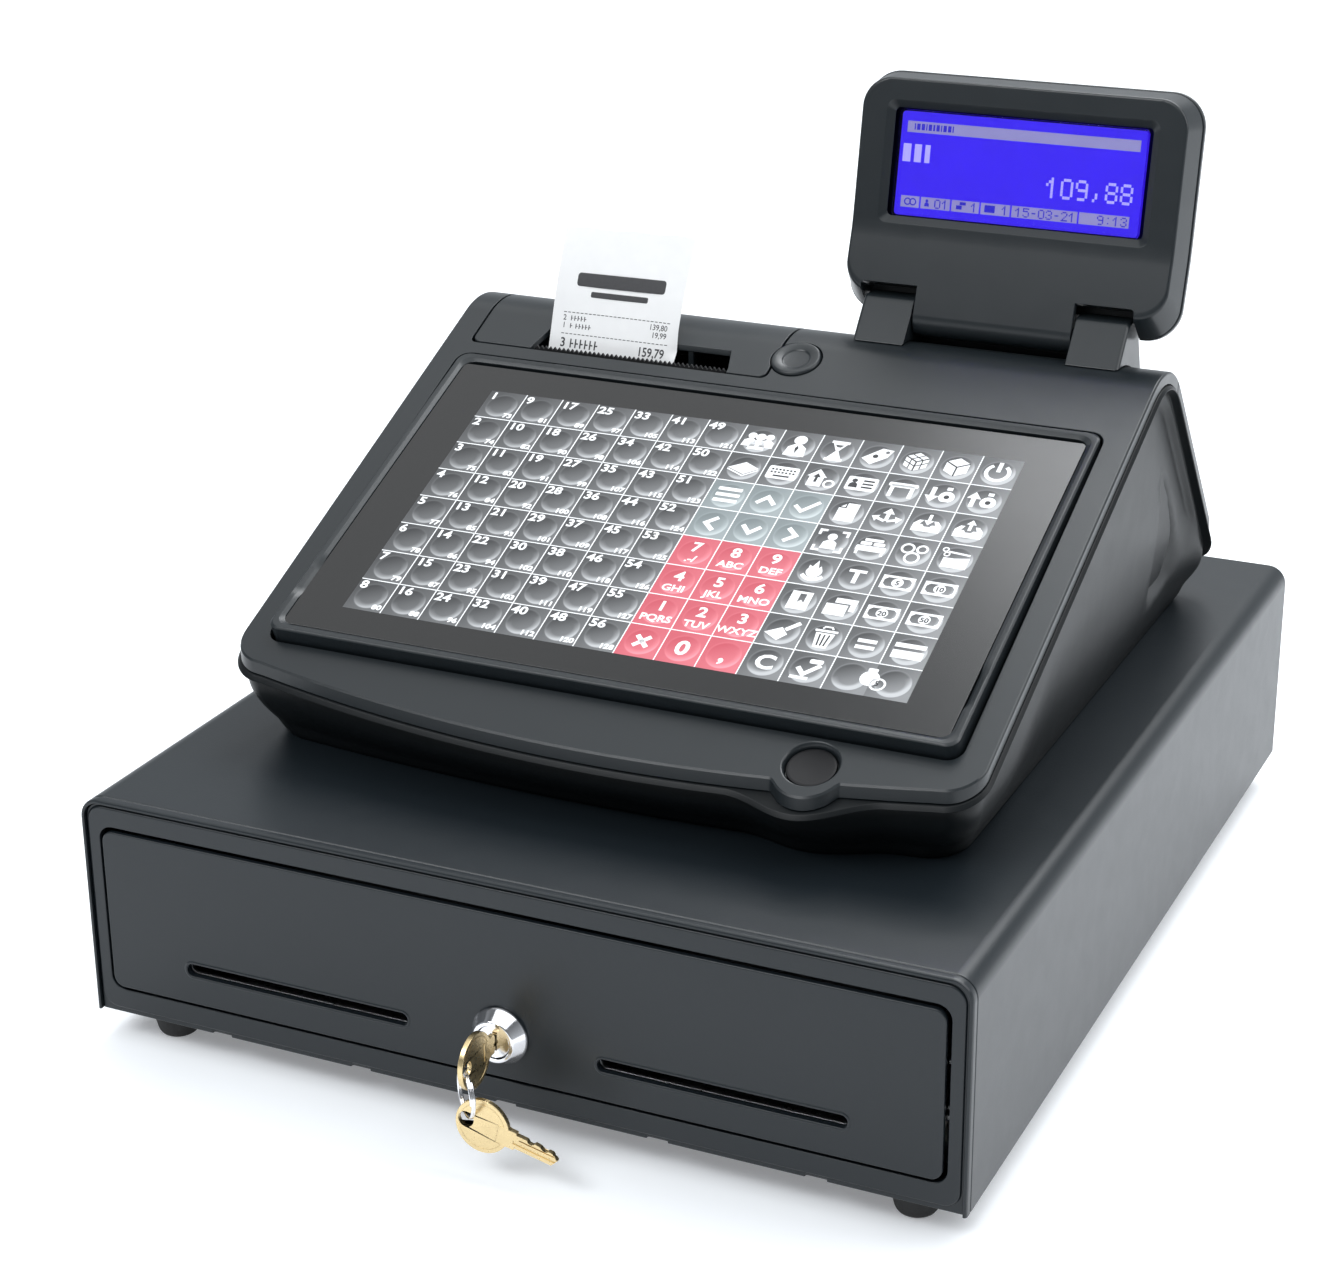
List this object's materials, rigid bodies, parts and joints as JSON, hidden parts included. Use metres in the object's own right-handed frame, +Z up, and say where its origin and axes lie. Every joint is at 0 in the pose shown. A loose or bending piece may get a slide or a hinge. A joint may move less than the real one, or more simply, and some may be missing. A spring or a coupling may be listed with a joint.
{
  "type": "cash register",
  "caption": "Touch-panel cash register with receipt printer and tilting display on a lockable sheet-metal cash drawer.",
  "frame": {"origin": "on the surface the feet stand on, under the middle of the whole object seen from above, keys included", "axes": "+Z up, front of the register towards -Y, +X to the right for the person serving"},
  "size_m": [0.35, 0.449, 0.3275],
  "materials": {
    "coat": "fine textured powder coat, charcoal",
    "housing": "finely grained satin moulding, dark grey",
    "black_plastic": "black moulding",
    "panel_glass": "dark satin touch glass",
    "clear_window": "clear display window",
    "lcd": "backlit blue liquid-crystal panel",
    "rubber": "black moulded rubber",
    "chrome": "bright chrome plate",
    "brass": "stamped brass",
    "steel": "zinc-plated steel",
    "nylon": "natural nylon",
    "paper": "white thermal paper",
    "printed_sheet": "printed key sheet under the glass",
    "board": "green circuit board"
  },
  "bodies": {
    "case": {"case_cover": "coat", "case_chassis": "coat", "rail_left": "steel", "rail_right": "steel", "foot_front_left": "rubber", "foot_front_right": "rubber", "foot_rear_left": "rubber", "foot_rear_right": "rubber", "solenoid": "steel", "latch_post": "steel", "ejector_spring": "steel", "base_shell": "housing", "top_shell": "housing", "rear_cover": "housing", "panel_bezel": "housing", "touch_glass": "panel_glass", "key_sheet": "printed_sheet", "main_board": "board", "tear_bar": "black_plastic", "printer_frame": "steel", "paper_motor": "steel", "reader_disc": "black_plastic", "display_stand": "housing", "rear_sockets": "black_plastic", "cover_pin": "steel", "display_pin": "steel"},
    "drawer": {"drawer_tray": "coat", "drawer_fascia": "coat", "till_insert": "black_plastic", "clip_rod": "steel", "lock_body": "chrome", "coin_tray": "black_plastic"},
    "lock_barrel": {"lock_cylinder": "chrome", "lock_cam": "steel"},
    "printer_cover": {"printer_cover": "housing", "receipt": "paper"},
    "display": {"display_front": "housing", "display_rear": "housing", "lcd_panel": "lcd", "lcd_window": "clear_window"},
    "roller_front_left": {"roller_front_left": "nylon"},
    "roller_front_right": {"roller_front_right": "nylon"},
    "roller_rear_left": {"roller_rear_left": "nylon"},
    "roller_rear_right": {"roller_rear_right": "nylon"},
    "bill_clip_1": {"bill_clip_1": "black_plastic"},
    "bill_clip_2": {"bill_clip_2": "black_plastic"},
    "bill_clip_3": {"bill_clip_3": "black_plastic"},
    "bill_clip_4": {"bill_clip_4": "black_plastic"},
    "inserted_key": {"inserted_key": "brass"},
    "key_ring": {"key_ring": "steel"},
    "spare_key": {"spare_key": "brass"},
    "latch_lever": {"latch_lever": "steel"},
    "solenoid_plunger": {"solenoid_plunger": "steel"},
    "platen_roller": {"platen_roller": "rubber"},
    "idler_gear": {"idler_gear": "nylon"},
    "motor_pinion": {"motor_pinion": "nylon"},
    "paper_roll": {"paper_roll": "paper"},
    "cover_release_button": {"cover_release_button": "housing"}
  },
  "joints": [
    {"name": "drawer_slide", "type": "slide", "parent": "case", "child": "drawer", "axis": [0, -1, 0], "range_m": [0, 0.26]},
    {"name": "roller_front_left_turn", "type": "hinge", "parent": "case", "child": "roller_front_left", "pos_m": [-0.16835, -0.17352, 0.0384], "axis": [1, 0, 0], "continuous": true},
    {"name": "roller_rear_left_turn", "type": "hinge", "parent": "drawer", "child": "roller_rear_left", "pos_m": [-0.16705, 0.16648, 0.0595], "axis": [1, 0, 0], "continuous": true},
    {"name": "roller_front_right_turn", "type": "hinge", "parent": "case", "child": "roller_front_right", "pos_m": [0.16835, -0.17352, 0.0384], "axis": [1, 0, 0], "continuous": true},
    {"name": "roller_rear_right_turn", "type": "hinge", "parent": "drawer", "child": "roller_rear_right", "pos_m": [0.16705, 0.16648, 0.0595], "axis": [1, 0, 0], "continuous": true},
    {"name": "bill_clip_1_lift", "type": "hinge", "parent": "drawer", "child": "bill_clip_1", "pos_m": [-0.12071, 0.16648, 0.069], "axis": [-1, 0, 0], "range_deg": [0, 25], "stiffness_Nm_per_rad": 0.02, "springref_deg": -28.65},
    {"name": "bill_clip_2_lift", "type": "hinge", "parent": "drawer", "child": "bill_clip_2", "pos_m": [-0.04024, 0.16648, 0.069], "axis": [-1, 0, 0], "range_deg": [0, 25], "stiffness_Nm_per_rad": 0.02, "springref_deg": -28.65},
    {"name": "bill_clip_3_lift", "type": "hinge", "parent": "drawer", "child": "bill_clip_3", "pos_m": [0.04024, 0.16648, 0.069], "axis": [-1, 0, 0], "range_deg": [0, 25], "stiffness_Nm_per_rad": 0.02, "springref_deg": -28.65},
    {"name": "bill_clip_4_lift", "type": "hinge", "parent": "drawer", "child": "bill_clip_4", "pos_m": [0.12071, 0.16648, 0.069], "axis": [-1, 0, 0], "range_deg": [0, 25], "stiffness_Nm_per_rad": 0.02, "springref_deg": -28.65},
    {"name": "lock_turn", "type": "hinge", "parent": "drawer", "child": "lock_barrel", "pos_m": [0, -0.17852, 0.0425], "axis": [0, 1, 0], "range_deg": [0, 90]},
    {"name": "key_pull", "type": "slide", "parent": "lock_barrel", "child": "inserted_key", "axis": [0, -1, 0], "range_m": [0, 0.03]},
    {"name": "key_ring_swing", "type": "hinge", "parent": "inserted_key", "child": "key_ring", "pos_m": [0, -0.21801, 0.0412], "axis": [0, 1, 0], "range_deg": [-20, 20]},
    {"name": "spare_key_swing", "type": "hinge", "parent": "key_ring", "child": "spare_key", "pos_m": [0, -0.21801, 0.0244], "axis": [0, 1, 0], "range_deg": [-20, 20]},
    {"name": "latch_turn", "type": "hinge", "parent": "case", "child": "latch_lever", "pos_m": [0.012, 0.20449, 0.028], "axis": [0, 0, -1], "range_deg": [0, 20]},
    {"name": "plunger_slide", "type": "slide", "parent": "case", "child": "solenoid_plunger", "axis": [1, 0, 0], "range_m": [0, 0.004]},
    {"name": "printer_cover_hinge", "type": "hinge", "parent": "case", "child": "printer_cover", "pos_m": [0, 0.11549, 0.20443], "axis": [-1, 0, 0], "range_deg": [0, 70]},
    {"name": "platen_turn", "type": "hinge", "parent": "printer_cover", "child": "platen_roller", "pos_m": [0, 0.06868, 0.2058], "axis": [1, 0, 0], "continuous": true},
    {"name": "idler_turn", "type": "hinge", "parent": "case", "child": "idler_gear", "pos_m": [0, 0.06868, 0.1879], "axis": [1, 0, 0], "continuous": true},
    {"name": "pinion_turn", "type": "hinge", "parent": "case", "child": "motor_pinion", "pos_m": [0, 0.06868, 0.1724], "axis": [1, 0, 0], "continuous": true},
    {"name": "paper_roll_turn", "type": "hinge", "parent": "case", "child": "paper_roll", "pos_m": [-0.078, 0.08848, 0.1723], "axis": [1, 0, 0], "continuous": true},
    {"name": "release_button_press", "type": "slide", "parent": "case", "child": "cover_release_button", "axis": [0, 0.3775, -0.926], "range_m": [0, 0.002], "stiffness_N_per_m": 300},
    {"name": "display_tilt", "type": "hinge", "parent": "case", "child": "display", "pos_m": [0, 0.10049, 0.2346], "axis": [1, 0, 0], "range_deg": [-10, 60]}
  ],
  "couplings": [
    {"joint": "roller_front_left_turn", "follows": "drawer_slide", "rad_per_m": 129.87},
    {"joint": "roller_rear_left_turn", "follows": "drawer_slide", "rad_per_m": 129.87},
    {"joint": "roller_front_right_turn", "follows": "drawer_slide", "rad_per_m": 129.87},
    {"joint": "roller_rear_right_turn", "follows": "drawer_slide", "rad_per_m": 129.87},
    {"joint": "plunger_slide", "follows": "latch_turn", "m_per_rad": 0.009},
    {"joint": "idler_turn", "follows": "platen_turn", "ratio": -0.69231},
    {"joint": "pinion_turn", "follows": "platen_turn", "ratio": 1.5},
    {"joint": "paper_roll_turn", "follows": "platen_turn", "ratio": 0.20909}
  ]
}
